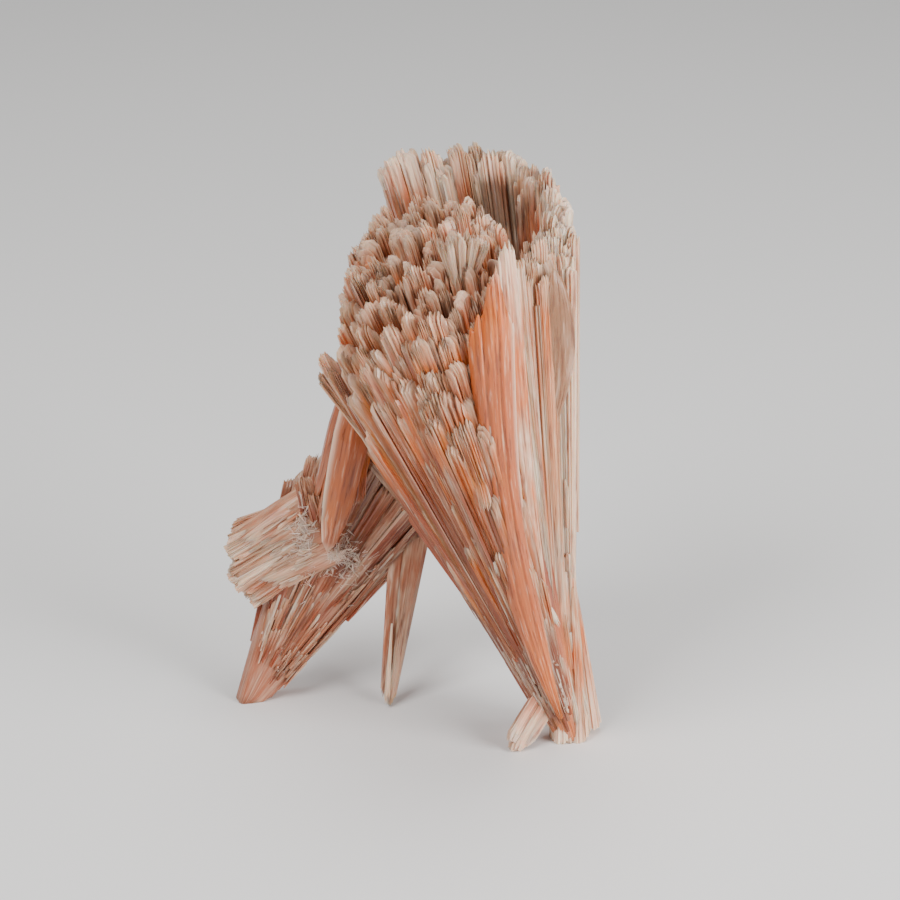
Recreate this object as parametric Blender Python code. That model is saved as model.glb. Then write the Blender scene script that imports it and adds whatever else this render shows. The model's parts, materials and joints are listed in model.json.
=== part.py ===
"""Inesite specimen: sprays of bladed crystals grown together, standing on four broken ends.

The whole cluster grew as one piece, so it is one solid. It is laid out in millimetres from the middle of
its main foot: +X to the right as it is looked at, +Y away from the viewer, +Z up. The finished solid is
in metres, with its origin at the bottom centre of its box.
"""

import random

import bmesh
import bpy
from mathutils import Vector

NODE = "crystal_cluster"
MM = 0.001
SEED = 11

# A blade is a flat hexagon in section. It starts at this share of its full width, and its chisel end is
# this many widths long and narrows to these shares of the width and the thickness.
START_WIDTH = 0.5
CHISEL_WIDTHS = 0.9
CHISEL_END = (0.45, 0.3)
# A chisel end takes up no more than this share of its blade.
LONGEST_CHISEL = 0.5
# The blades of a spray are between these shares of its blade size.
SMALLEST_BLADE = 0.85
LARGEST_BLADE = 1.1
# A hexagon's width across its flats, as a share of its width across its corners.
HEXAGON_FLATS = 0.866
# The solid body of a spray ends this share of the way to its crown, and lies this share inside its rim.
BODY_REACH = 0.84
BODY_INSET = 0.06
BODY_LEVELS = (0.0, 0.3, 0.6, 1.0)
BODY_CORNER_POWER = 3.0
# Blades on the rim start low in the body. Those inside the rim start just under its top.
RIM_START = 0.25
INNER_START = 0.7
START_INWARD = 0.75
# A blade leaves its grid place by up to this share of a grid step.
JITTER = 0.28
# The floor that cuts the feet flat, wider than the cluster and deeper than its lowest tips.
FLOOR_WIDTH = 120.0
FLOOR_DEPTH = 12.0
BASE_COLOUR = (0.62, 0.36, 0.24, 1.0)
ROUGHNESS = 0.42


class Spray:
    """A bundle of blades that spread from a small root to a crown.

    The crown is rows of points: a row runs from the left to the right of the spray, and the rows run from
    its front to its back. across and layers say how many blades there are each way. wide and thick are the
    size of one blade, and step is the largest share of its length that a blade may fall short by.
    """

    def __init__(self, root, root_half, crown, across, layers, wide, thick, step=0.08, reach=BODY_REACH):
        self.root = Vector(root)
        self.root_half = root_half
        self.crown = [[Vector(point) for point in row] for row in crown]
        self.across = across
        self.layers = layers
        self.wide = wide
        self.thick = thick
        self.step = step
        self.reach = reach
        axis = (self.crown_point(0.5, 0.5) - self.root).normalized()
        span = self.crown_point(1.0, 0.5) - self.crown_point(0.0, 0.5)
        self.side = (span - axis * span.dot(axis)).normalized()
        depth = self.crown_point(0.5, 1.0) - self.crown_point(0.5, 0.0)
        depth -= axis * depth.dot(axis)
        self.back = (depth - self.side * depth.dot(self.side)).normalized()

    def crown_point(self, s, t):
        """The crown at s across the spray and t through it, both from 0 to 1."""
        return between([between(row, s) for row in self.crown], t)

    def root_point(self, s, t):
        half_wide, half_deep = self.root_half
        return self.root + self.side * (2 * s - 1) * half_wide + self.back * (2 * t - 1) * half_deep

    def point(self, s, t, k):
        """The point k of the way from the root to the crown."""
        return self.root_point(s, t).lerp(self.crown_point(s, t), k)


def between(points, share):
    """The point at a share of the way through evenly spaced points."""
    if len(points) == 1:
        return points[0].copy()
    place = min(max(share, 0.0), 1.0) * (len(points) - 1)
    first = min(int(place), len(points) - 2)
    return points[first].lerp(points[first + 1], place - first)


def sprays():
    """Every spray of the cluster by name, in millimetres from the main foot."""
    return {
        "front": Spray(
            root=(0.4, -0.1, -0.6), root_half=(1.0, 1.1),
            crown=[
                [(-18.4, -1.4, 33.6), (-15.4, -4.8, 34.6), (-12.4, -7.6, 34.4), (-9.4, -8.8, 34.2),
                 (-6.2, -7.4, 34.6)],
                [(-20.6, -3.0, 36.8), (-17.8, -6.2, 40.4), (-13.8, -7.3, 43.2), (-9.8, -7.0, 45.4),
                 (-5.7, -5.0, 44.5)],
                [(-20.8, -0.4, 40.4), (-18.9, -1.8, 46.2), (-14.0, 0.0, 48.8), (-9.3, 1.2, 49.0),
                 (-5.4, 0.0, 46.0)],
                [(-21.0, 4.0, 43.3), (-19.6, 6.2, 48.6), (-14.2, 8.0, 48.2), (-9.5, 7.2, 48.2),
                 (-5.0, 3.5, 46.0)],
            ],
            across=8, layers=6, wide=2.4, thick=1.9, step=0.06, reach=0.88,
        ),
        "back": Spray(
            root=(-0.1, 1.6, 0.6), root_half=(1.0, 0.9),
            crown=[
                [(-16.6, 9.0, 49.6), (-14.2, 10.7, 51.9), (-10.0, 12.0, 52.3), (-5.6, 12.0, 51.6),
                 (-2.2, 8.2, 50.8), (-0.4, 4.8, 48.4), (0.0, 1.8, 44.6)],
                [(-17.0, 12.0, 46.5), (-13.8, 14.4, 48.0), (-9.2, 15.8, 48.6), (-4.5, 15.2, 48.4),
                 (-1.2, 10.8, 47.6), (-0.2, 6.8, 45.8), (0.0, 3.2, 42.4)],
            ],
            across=12, layers=2, wide=2.0, thick=1.9, step=0.05, reach=0.88,
        ),
        "rear_wing": Spray(
            root=(-0.5, 1.5, 0.2), root_half=(0.9, 0.9),
            crown=[
                [(-17.2, 4.0, 27.5), (-18.8, 4.0, 33.5), (-18.8, 6.0, 39.5), (-17.0, 8.0, 44.0)],
                [(-17.4, 14.5, 21.0), (-18.6, 13.5, 26.5), (-18.6, 13.0, 33.5), (-16.4, 13.0, 41.5)],
            ],
            across=5, layers=4, wide=2.2, thick=1.9, step=0.06,
        ),
        "orange_rib": Spray(
            root=(-1.2, -1.2, 0.6), root_half=(0.8, 0.5),
            crown=[
                [(-8.7, -8.6, 44.6), (-7.0, -9.2, 47.4), (-5.2, -8.0, 42.5)],
                [(-8.7, -5.6, 44.6), (-7.0, -5.8, 47.4), (-5.2, -5.4, 42.5)],
            ],
            across=3, layers=1, wide=2.5, thick=3.0, step=0.02,
        ),
        "right_sheaf": Spray(
            root=(-0.4, 0.0, 2.0), root_half=(0.8, 0.6),
            crown=[
                [(-4.4, -2.6, 45.0), (-3.0, -3.0, 45.6), (-1.4, -2.0, 43.6)],
                [(-4.4, 1.0, 46.6), (-3.0, 1.0, 47.6), (-1.3, 1.0, 45.4)],
            ],
            across=3, layers=2, wide=1.5, thick=1.8, step=0.03,
        ),
        "lens_blade": Spray(
            root=(-2.8, 0.2, 28.0), root_half=(0.3, 0.2),
            crown=[[(-1.8, -0.4, 44.8), (-0.8, -0.4, 44.8)], [(-1.8, 1.2, 44.8), (-0.8, 1.2, 44.8)]],
            across=1, layers=1, wide=2.8, thick=1.4, step=0.01,
        ),
        "main_foot": Spray(
            root=(-0.6, 0.8, 11.0), root_half=(1.3, 1.2),
            crown=[
                [(-1.4, -1.3, -0.6), (0.4, -1.4, -0.6), (1.9, -0.4, -0.5)],
                [(-1.0, 1.6, -0.4), (1.4, 2.8, -0.4), (3.2, 2.8, 0.8)],
            ],
            across=3, layers=2, wide=1.6, thick=1.9, step=0.02, reach=0.96,
        ),
        "left_brace": Spray(
            root=(-28.1, 6.9, -0.6), root_half=(1.3, 1.1),
            crown=[
                [(-24.8, 8.0, 17.0), (-19.8, 9.5, 21.5), (-14.8, 9.5, 22.0), (-11.4, 9.5, 18.0),
                 (-13.8, 9.6, 13.6), (-16.6, 9.8, 11.0)],
                [(-24.4, 11.5, 18.0), (-22.0, 13.4, 22.0), (-17.5, 14.0, 22.0), (-13.0, 13.8, 19.0),
                 (-13.6, 13.4, 13.4), (-16.6, 13.0, 10.8)],
            ],
            across=9, layers=3, wide=1.7, thick=1.7, step=0.05,
        ),
        "left_column": Spray(
            root=(-20.3, 12.0, 15.8), root_half=(4.8, 1.8),
            crown=[
                [(-28.0, 8.4, 8.0), (-30.0, 8.8, 10.6), (-30.2, 9.6, 13.8)],
                [(-27.6, 12.0, 7.8), (-29.2, 12.4, 10.4), (-29.8, 13.2, 14.2)],
            ],
            across=4, layers=3, wide=2.0, thick=1.9, step=0.03, reach=0.92,
        ),
        "hanging_prisms": Spray(
            root=(-18.3, 7.6, 31.0), root_half=(1.9, 0.9),
            crown=[
                [(-22.0, 6.4, 17.0), (-20.9, 6.2, 14.6), (-19.8, 6.4, 15.6), (-18.4, 6.6, 19.0)],
                [(-21.8, 9.4, 17.2), (-20.8, 9.4, 15.2), (-19.6, 9.4, 16.6), (-18.2, 9.4, 19.4)],
            ],
            across=3, layers=2, wide=1.8, thick=1.8, step=0.04,
        ),
        "middle_leg": Spray(
            root=(-13.7, 11.0, 16.0), root_half=(1.8, 0.9),
            crown=[
                [(-17.0, 5.0, 1.4), (-15.9, 4.9, -0.6), (-14.8, 5.2, 2.4)],
                [(-17.0, 6.8, 1.6), (-15.9, 6.8, -0.6), (-14.8, 7.0, 2.6)],
            ],
            across=3, layers=1, wide=1.3, thick=2.2, step=0.02,
        ),
        "small_foot": Spray(
            root=(-0.9, 0.0, 6.4), root_half=(0.6, 0.5),
            crown=[
                [(-6.1, -3.2, -0.1), (-4.7, -3.4, -0.5)],
                [(-5.9, -2.0, -0.1), (-4.5, -2.2, -0.5)],
            ],
            across=1, layers=1, wide=2.4, thick=1.6, step=0.01,
        ),
        "left_splinter": Spray(
            root=(-16.6, 1.2, 27.0), root_half=(0.4, 0.3),
            crown=[[(-22.0, 1.0, 36.6), (-21.2, 1.0, 36.6)], [(-22.0, 2.0, 36.6), (-21.2, 2.0, 36.6)]],
            across=1, layers=1, wide=1.6, thick=1.3, step=0.01,
        ),
    }


def raised(shape, levels):
    """The shape's flat section raised level by level: x and y stay, and z counts the levels."""
    top = shape.faces[:]
    for level in range(1, levels + 1):
        made = bmesh.ops.extrude_face_region(shape, geom=top)["geom"]
        if level > 1:
            bmesh.ops.delete(shape, geom=top, context="FACES")
        top = [item for item in made if isinstance(item, bmesh.types.BMFace)]
        for item in made:
            if isinstance(item, bmesh.types.BMVert):
                item.co.z = level


def add_solid(shape, name, collection):
    """An object for a closed shape, with its faces turned outward."""
    shape.normal_update()
    bmesh.ops.recalc_face_normals(shape, faces=shape.faces[:])
    mesh = bpy.data.meshes.new(name)
    shape.to_mesh(mesh)
    shape.free()
    solid = bpy.data.objects.new(name, mesh)
    collection.objects.link(solid)
    return solid


def add_blade(start, tip, side, wide, thick, collection):
    """A blade from start to tip: a flat hexagon that widens upward and ends in a chisel."""
    run = tip - start
    axis = run.normalized()
    chisel = min(wide * CHISEL_WIDTHS, run.length * LONGEST_CHISEL)
    heights = (0.0, run.length - chisel, run.length)
    widths = (START_WIDTH * wide, wide, CHISEL_END[0] * wide)
    depths = (START_WIDTH * thick, thick, CHISEL_END[1] * thick)
    across = (side - axis * side.dot(axis)).normalized()
    through = axis.cross(across) / HEXAGON_FLATS
    shape = bmesh.new()
    bmesh.ops.create_circle(shape, cap_ends=True, segments=6, radius=0.5)
    raised(shape, 2)
    for vert in shape.verts:
        level = round(vert.co.z)
        vert.co = (start + axis * heights[level] + across * vert.co.y * widths[level]
                   + through * vert.co.x * depths[level])
    return add_solid(shape, "blade", collection)


def add_body(spray, collection):
    """The solid body of a spray, inside its blades: a rounded block that spreads from the root."""
    shape = bmesh.new()
    bmesh.ops.create_grid(shape, x_segments=spray.across // 2 + 1, y_segments=spray.layers // 2 + 1, size=1.0)
    raised(shape, len(BODY_LEVELS) - 1)
    for vert in shape.verts:
        x, y = vert.co.x, vert.co.y
        edge = max(abs(x), abs(y))
        bow = (abs(x) ** BODY_CORNER_POWER + abs(y) ** BODY_CORNER_POWER) ** (1 / BODY_CORNER_POWER)
        half = (0.5 - BODY_INSET) * (edge / bow if bow else 1.0)
        level = BODY_LEVELS[round(vert.co.z)]
        vert.co = spray.point(0.5 + half * x, 0.5 + half * y, level * spray.reach)
    return add_solid(shape, "body", collection)


def add_blades(spray, rng, collection):
    """The blades of a spray, on a shaken grid over its crown."""
    for i in range(spray.across):
        for j in range(spray.layers):
            on_end = i in (0, spray.across - 1)
            on_rim = on_end or j in (0, spray.layers - 1)
            s = (i + 0.5 + rng.uniform(-JITTER, JITTER)) / spray.across
            t = (j + 0.5 + rng.uniform(-JITTER, JITTER)) / spray.layers
            inward_s = 0.5 + (s - 0.5) * START_INWARD
            inward_t = 0.5 + (t - 0.5) * START_INWARD
            start = spray.point(inward_s, inward_t, RIM_START if on_rim else INNER_START)
            tip = spray.point(s, t, 1.0 - rng.uniform(0.0, spray.step))
            along_rim = spray.back if on_end and 0 < j < spray.layers - 1 else spray.side
            size = rng.uniform(SMALLEST_BLADE, LARGEST_BLADE)
            add_blade(start, tip, along_rim, spray.wide * size, spray.thick * size, collection)


def joined(first, others, operation):
    """The first solid with a Boolean of the others applied to it, as a new mesh."""
    modifier = first.modifiers.new(operation.lower(), "BOOLEAN")
    modifier.operation = operation
    modifier.solver = "EXACT"
    modifier.operand_type = "COLLECTION"
    modifier.collection = others
    graph = bpy.context.evaluated_depsgraph_get()
    mesh = bpy.data.meshes.new_from_object(first.evaluated_get(graph))
    first.modifiers.remove(modifier)
    return mesh


def helper_collection(name):
    """A collection that holds only helpers."""
    collection = bpy.data.collections.new(name)
    collection.hide_render = True
    bpy.context.scene.collection.children.link(collection)
    return collection


def keep_outer_shell(shape):
    """Keeps the largest shell, counted across the edges that two faces share.

    This fills the sealed gaps between the crystals, and drops the folds of no thickness that a union leaves
    once its faces are triangles.
    """
    left = set(shape.faces)
    shells = []
    while left:
        shell = []
        reached = [left.pop()]
        while reached:
            face = reached.pop()
            shell.append(face)
            shared = [edge for edge in face.edges if len(edge.link_faces) == 2]
            near = {other for edge in shared for other in edge.link_faces} & left
            left -= near
            reached.extend(near)
        shells.append(shell)
    shells.sort(key=len)
    for shell in shells[:-1]:
        bmesh.ops.delete(shape, geom=shell, context="FACES")


def recentre(shape):
    """Moves the shape until the bottom centre of its box is the origin."""
    low = [min(vert.co[axis] for vert in shape.verts) for axis in range(3)]
    high = [max(vert.co[axis] for vert in shape.verts) for axis in range(3)]
    middle = Vector(((low[0] + high[0]) / 2, (low[1] + high[1]) / 2, low[2]))
    bmesh.ops.translate(shape, vec=-middle, verts=shape.verts)


def inesite_material():
    """Silky pinkish-orange crystal."""
    material = bpy.data.materials.new("inesite")
    material.use_nodes = True
    shader = material.node_tree.nodes["Principled BSDF"]
    shader.inputs["Base Color"].default_value = BASE_COLOUR
    shader.inputs["Roughness"].default_value = ROUGHNESS
    return material


def main():
    for old in list(bpy.data.objects):
        bpy.data.objects.remove(old, do_unlink=True)
    rng = random.Random(SEED)
    crystals = helper_collection("crystals")
    floor = helper_collection("floor")
    for spray in sprays().values():
        add_body(spray, crystals)
        add_blades(spray, rng, crystals)

    slab = bmesh.new()
    bmesh.ops.create_cube(slab, size=1.0)
    bmesh.ops.scale(slab, vec=(FLOOR_WIDTH, FLOOR_WIDTH, FLOOR_DEPTH), verts=slab.verts)
    bmesh.ops.translate(slab, vec=(0.0, 0.0, -FLOOR_DEPTH / 2), verts=slab.verts)
    add_solid(slab, "floor_slab", floor)

    first = crystals.objects[0]
    crystals.objects.unlink(first)
    bpy.context.scene.collection.objects.link(first)
    cluster = bpy.data.objects.new(NODE, joined(first, crystals, "UNION"))
    bpy.context.scene.collection.objects.link(cluster)
    cluster.data = joined(cluster, floor, "DIFFERENCE")

    shape = bmesh.new()
    shape.from_mesh(cluster.data)
    bmesh.ops.triangulate(shape, faces=shape.faces[:])
    keep_outer_shell(shape)
    recentre(shape)
    bmesh.ops.scale(shape, vec=(MM, MM, MM), verts=shape.verts)
    shape.to_mesh(cluster.data)
    shape.free()
    cluster.data.materials.clear()
    cluster.data.materials.append(inesite_material())

    for helper in [first, *crystals.objects, *floor.objects]:
        bpy.data.objects.remove(helper, do_unlink=True)


if __name__ == "__main__":
    main()
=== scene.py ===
"""Inesite specimen: sprays of fine, silky crystal needles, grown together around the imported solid.

The pieces are laid out in millimetres from the middle of the main foot: +X to the right as the specimen is
looked at, +Y away from the viewer, +Z up. Each finished piece is in metres, in the frame's own place.
"""

import json
import math
import random

import bmesh
import bpy
import numpy as np
from bpy.props import FloatProperty, FloatVectorProperty, IntProperty, PointerProperty
from mathutils import Matrix, Vector, noise


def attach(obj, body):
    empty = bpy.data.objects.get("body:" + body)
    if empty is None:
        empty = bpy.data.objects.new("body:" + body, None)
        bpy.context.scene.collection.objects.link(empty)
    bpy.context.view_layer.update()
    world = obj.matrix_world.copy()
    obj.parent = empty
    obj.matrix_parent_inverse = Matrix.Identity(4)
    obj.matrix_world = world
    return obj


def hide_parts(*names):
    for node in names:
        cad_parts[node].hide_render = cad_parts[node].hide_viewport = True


bl_info = {
    "name": "Inesite Specimen",
    "version": (1, 0, 0),
    "blender": (4, 5, 0),
    "location": "3D Viewport > Sidebar > Specimen",
    "description": "Builds a natural cluster of fine crystal sprays around its packed solid",
    "category": "Object",
}

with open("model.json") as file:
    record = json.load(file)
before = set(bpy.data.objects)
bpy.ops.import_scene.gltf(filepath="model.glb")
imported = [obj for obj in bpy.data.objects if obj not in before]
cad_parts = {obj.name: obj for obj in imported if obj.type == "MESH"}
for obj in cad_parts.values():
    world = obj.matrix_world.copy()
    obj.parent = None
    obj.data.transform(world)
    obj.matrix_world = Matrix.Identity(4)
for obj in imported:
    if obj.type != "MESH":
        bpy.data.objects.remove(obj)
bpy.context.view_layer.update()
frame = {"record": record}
NODE = "crystal_cluster"
BODY = "root"

MM = 0.001
# The layout's origin, the middle of the main foot, is where the record's mount is.
FOOT = Vector(frame["record"]["mounts"][0]["pos_m"])

# What every point of a piece carries: millimetres back from its crystal's tip, millimetres across its
# blade, and one random number each for its blade and its needle.
VALUES = ("reach", "across", "tone", "grain")

# A needle's levels as shares of its length, with its width there as a share of its full width. The last
# but one is moved to keep the point's own length.
NEEDLE_SIDES = 5
NEEDLE_LEVELS = (0.0, 0.5, 0.97, 1.0)
NEEDLE_WIDTHS = (0.5, 0.85, 1.0, 0.35)
NEEDLE_FLATNESS = 0.75
NEEDLE_OVERLAP = 1.65
# How much the needles' places are shaken and their widths vary, how much thinner and thicker than usual a
# needle may be, how the length of its point and the width of its end vary, how steeply its end may be cut
# off, and how far it may be turned about its length, in radians.
NEEDLE_SHAKE = 0.45
NEEDLE_VARIETY = 0.32
NEEDLE_SPREAD = (0.6, 1.75)
POINT_SPREAD = (0.6, 1.3)
END_SPREAD = (0.6, 1.9)
NEEDLE_CHISEL = 1.1
NEEDLE_TURN = 0.5
# How much the end of a plate of needles may slant, as a share of its width.
PLATE_SLANT = 0.25
# A shard is a flat tube whose columns are needles grown together: its levels as shares of a column's
# length, with its thickness there. The last but one is moved to keep the point's own length.
SHARD_COLUMNS = 14
SHARD_LEVELS = (0.0, 0.4, 0.75, 0.97, 1.0)
SHARD_THICKNESSES = (0.5, 0.8, 0.95, 1.0, 0.3)
# Every other column of a shard is a groove with a long notch, and those between are crests with a short
# one. The notches are shares of the shard's tooth, the grooves and crests shares of its thickness.
LONG_NOTCH = (0.3, 1.0)
SHORT_NOTCH = (0.0, 0.6)
NOTCH_SPREAD = (0.5, 1.6)
GROOVE = (0.45, 0.85)
CREST = (0.85, 1.25)
# How far a column may slip sideways, as a share of its width, how much a shard's end may slant, as a share
# of its width, how the length of its points varies, and the least that the square of its thickness may be
# at its edges.
COLUMN_SLIP = 0.8
SHARD_SLANT = 0.3
SHARD_POINT_SPREAD = (0.7, 1.4)
SHARD_EDGE = 0.12
# How far the streaks on a crystal's front and back are shifted across it, in millimetres.
FACE_SHIFT = 0.3
# How far a spray's shards start inside it, as a share of its width there, and how much of the depth of
# their grooves is left at their roots.
SINK = 0.8
ROOT_GROOVES = 0.3
# How far a spray's shards are shaken out of their grid, how far they turn, as shares of the usual lean, how
# their width and thickness vary, and how wide the start of one is at the spray's root, as a share.
FAN_SHAKE = 0.42
LEAN_SPREAD = (-0.7, 2.3)
WIDTH_SPREAD = (0.45, 1.35)
THICKNESS_SPREAD = (0.6, 1.3)
FAN_ROOT_WIDTH = 0.2
# Where the flakes lie from a spray's front to its back, how far off it they start and end, as shares of
# their distance, their thickness in millimetres, their needles' width as a share of the usual one, and how
# much of a flake's length its needles may start along.
FLAKE_PLACE = 0.02
FLAKE_LIFT = (0.5, 1.1)
FLAKE_END_LIFT = 0.8
FLAKE_THICKNESS = 0.1
FLAKE_NEEDLE = 0.42
FLAKE_BEGIN = 0.35
# How far a frost needle tips back or forward, its length and width in millimetres, and the direction that
# its flat side is turned to.
FROST_TILT = (-0.4, 0.2)
FROST_LENGTHS = (0.4, 1.5)
FROST_WIDTH = 0.035
FROST_FACE = Vector((0, 1, 0.3))
# A blade is a flat tube with this many columns on each side and this many levels.
BLADE_COLUMNS = 22
BLADE_LEVELS = 12
PRISM_SIDES = 6
PRISM_LEVELS = 6
# How much a blade's ridges make its end ragged, how thick its end and its edges are left, and how bulging
# its section is.
RIB_RAGGED = 0.12
BLADE_END = 0.25
BLADE_EDGE = 0.2
BLADE_ROUNDNESS = 2.4
# The grown-together body of a spray is a block with this many columns, rows and levels.
LARGE_MASS = (92, 36, 26)
SMALL_MASS = (44, 22, 18)
# How square its section is, how fine its ridges and its swells are round it and along it, and the share of
# their height that they have at its root.
MASS_ROUNDNESS = 3
RIDGE_SCALE = (2.6, 1.5)
SWELL_SCALE = (0.5, 1.2)
MASS_ROOT = 0.25
# The streaks: how far apart the patterns of two blades lie, how stretched they are, and the fineness of
# the broad ones and of the bands of cloud.
BLADES_APART = 60.0
STREAK_STRETCH = 0.22
BROAD_STREAKS = 0.22
BAND_FINENESS = 0.55
BAND_STRETCH = 0.13
# The tint. Where two numbers stand, a change of colour or brightness begins at one and ends at the other.
BAND_DRIFT = 2.4
WARM_TO_COOL = (0.15, 0.85)
# Low on a crystal, away from its tip and its root, the deep colour takes over. With rust it is partly the
# redder crystal and partly painted shade between the shingles, and with a pale colour it is painted light.
SHADE_AND_LIGHT_BELOW_TIPS = (2.5, 10.0)
SHADE_AND_LIGHT_ABOVE_ROOTS = (43.0, 31.0)
CLOUD_REACH = 1.3
CLOUD_STRENGTH = 0.45
FADED_BANDS = (0.56, 0.66)
TIP_RAGGED = 1.2
TIP_FADE = (0.15, 1.0)
DARK_STREAKS = (0.50, 0.32)
DARK_STRENGTH = 0.65
PALE_STREAKS = (0.55, 0.70)
# The painted highlight on the very tips, in cream, and its strength.
TIP_HIGHLIGHTS = (0.15, 1.1)
TIP_HIGHLIGHT_STRENGTH = 0.5
TONE_SHUFFLE = 7.3
NEEDLE_BRIGHTNESS = (0.86, 1.06)
BLADE_BRIGHTNESS = (0.82, 1.1)
# A few needles at random turn cream: partly whitish needles, partly painted glints.
PALE_NEEDLES_AND_GLINTS = (0.90, 0.96)
PALE_NEEDLE_AND_GLINT_STRENGTH = 0.45
# The stain: its grain, how ragged and streaked its border is, and where and how strongly it shows.
STAIN_GRAIN = 420.0
STAIN_RAGGED = 1.1
STAIN_STREAKED = 1.2
STAIN_FADE = (0.55, 1.05)
STAIN_DEPTH = (0.6, 3.0)
STAIN_AT_TIPS = 0.25
STAIN_STRENGTH = 0.7
# The crystal's surface and the light in it, with lengths in metres.
GLOSS_STREAKS = (0.3, 0.7)
BUMP_STRENGTH = 0.5
BUMP_HEIGHT = 0.00006
CRYSTAL_IOR = 1.48
SCATTER_COLOUR = (1.0, 0.42, 0.24)
SCATTER_DEPTH = 0.001
COAT = 0.06
COAT_ROUGHNESS = 0.2
# The stage, in metres, except for the place that the camera and the lights face, in millimetres. Each
# light has its place and size.
FLOOR_SIDES = 64
FLOOR_RADIUS = 2.0
FLOOR_ROUGHNESS = 0.7
TARGET = (-10.2, 3.0, 26.08)
LIGHTS = (("key", (-0.16, -0.16, 0.26), 0.16), ("top", (0.02, 0.06, 0.30), 0.18),
          ("fill", (0.22, -0.14, 0.10), 0.16))
CLIP_START = 0.01


# Settings.


def colour_setting(name, description, default):
    return FloatVectorProperty(name=name, description=description, default=default, subtype="COLOR", min=0.0,
                               max=1.0)


class NeedleSettings(bpy.types.PropertyGroup):
    """The sizes of the needles."""

    width: FloatProperty(name="Needle width", description="Width of one needle at its widest",
                         default=0.00033, min=0.00005, unit="LENGTH", precision=5)
    point: FloatProperty(name="Point length", description="Length of a needle's tapered end",
                         default=0.00045, min=0.0, unit="LENGTH", precision=5)
    ragged: FloatProperty(name="Raggedness", description="Most that a needle falls short of its neighbours",
                          default=0.0008, min=0.0, unit="LENGTH", precision=5)
    lean: FloatProperty(name="Lean", description="Turn of each blade about its length, like a roof tile",
                        default=math.radians(22.0), subtype="ANGLE")
    seed: IntProperty(name="Seed", description="Seed of all the random shaking", default=7)


class ColourSettings(bpy.types.PropertyGroup):
    """The colours of the crystals."""

    orange: colour_setting("Orange", "Clear crystal, deep inside a blade", (0.62, 0.155, 0.032))
    pink: colour_setting("Pink", "Clouded crystal", (0.50, 0.17, 0.083))
    tip: colour_setting("Tip", "Weathered grey-tan tips", (0.66, 0.40, 0.265))
    # Cream is also painted light: the highlights on the tips and on the lit sides of blades, the glints on a
    # few needles, and the right edge low down.
    cream: colour_setting("Cream", "Pale bruised faces and splinters", (0.92, 0.66, 0.49))
    maroon: colour_setting("Maroon", "Darker streaks between the needles", (0.18, 0.045, 0.024))
    # Rust is partly the redder crystal low down and partly painted shade between the shingles.
    rust: colour_setting("Rust", "Reddish brown, low between the needles", (0.29, 0.062, 0.022))
    stain: colour_setting("Stain", "Black manganese stain in the hollow", (0.085, 0.048, 0.030))
    clear: colour_setting("Clear", "Grey-brown see-through blades", (0.42, 0.20, 0.095))


class StageSettings(bpy.types.PropertyGroup):
    """The camera, the lights and the floor."""

    elevation: FloatProperty(name="Elevation", description="Height of the camera above the horizon",
                             default=math.radians(25.0), subtype="ANGLE")
    distance: FloatProperty(name="Distance", description="Distance of the camera from the specimen",
                            default=0.35, unit="LENGTH")
    lens: FloatProperty(name="Lens", description="Focal length in millimetres", default=100.0)
    picture: FloatProperty(name="Picture width", description="Width of the picture at the specimen",
                           default=0.0765, unit="LENGTH")
    key: FloatProperty(name="Key light", description="Power of the soft light at the upper left, in watts",
                       default=0.95)
    fill: FloatProperty(name="Fill light", description="Power of the soft light at the right, in watts",
                        default=1.2)
    top: FloatProperty(name="Top light", description="Power of the soft light overhead, in watts",
                       default=0.45)
    ambient: FloatProperty(name="Ambient light", description="Strength of the even light", default=0.2)
    floor: colour_setting("Floor", "Colour of the floor", (0.78, 0.77, 0.76))


class SpecimenSettings(bpy.types.PropertyGroup):
    """Every setting of the specimen."""

    needles: PointerProperty(type=NeedleSettings)
    colours: PointerProperty(type=ColourSettings)
    stage: PointerProperty(type=StageSettings)


def settings():
    return bpy.context.scene.specimen


# Stock shapes.


def raised(shape, levels):
    """The shape's flat section raised level by level: x and y stay, and z counts the levels."""
    top = shape.faces[:]
    for level in range(1, levels + 1):
        made = bmesh.ops.extrude_face_region(shape, geom=top)["geom"]
        if level > 1:
            bmesh.ops.delete(shape, geom=top, context="FACES")
        top = [item for item in made if isinstance(item, bmesh.types.BMFace)]
        for item in made:
            if isinstance(item, bmesh.types.BMVert):
                item.co.z = level


class Stock:
    """A closed shape that is copied many times, each copy with its points in new places.

    across and through are its points' places over its section, from -1 to 1, and level counts up its length.
    """

    def __init__(self, shape, levels, smooth):
        raised(shape, levels)
        shape.normal_update()
        bmesh.ops.recalc_face_normals(shape, faces=shape.faces[:])
        for face in shape.faces:
            face.smooth = smooth
        self.mesh = bpy.data.meshes.new("stock")
        shape.to_mesh(self.mesh)
        for name in VALUES:
            self.mesh.attributes.new(name, "FLOAT", "POINT")
        points = np.array([vert.co for vert in shape.verts])
        self.across = points[:, 0]
        self.through = points[:, 1]
        self.level = points[:, 2].round().astype(int)
        self.last = levels
        shape.free()

    def copy_into(self, target, points, **values):
        """Adds a copy of the stock shape to a bmesh, with its points and their values."""
        self.mesh.vertices.foreach_set("co", points.astype(np.float32).ravel())
        for name in VALUES:
            each = np.broadcast_to(values[name], len(points)).astype(np.float32)
            self.mesh.attributes[name].data.foreach_set("value", each)
        target.from_mesh(self.mesh)


def round_stock(sides, levels):
    shape = bmesh.new()
    bmesh.ops.create_circle(shape, cap_ends=True, segments=sides, radius=1.0)
    return Stock(shape, levels, smooth=False)


def flat_stock(columns, rows, levels, smooth=True):
    shape = bmesh.new()
    bmesh.ops.create_grid(shape, x_segments=columns, y_segments=rows, size=1.0)
    return Stock(shape, levels, smooth)


# Layout of the sprays.


def between(points, share):
    """The point at a share of the way through evenly spaced points."""
    if len(points) == 1:
        return points[0].copy()
    place = min(max(share, 0.0), 1.0) * (len(points) - 1)
    first = min(int(place), len(points) - 2)
    return points[first].lerp(points[first + 1], place - first)


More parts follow.
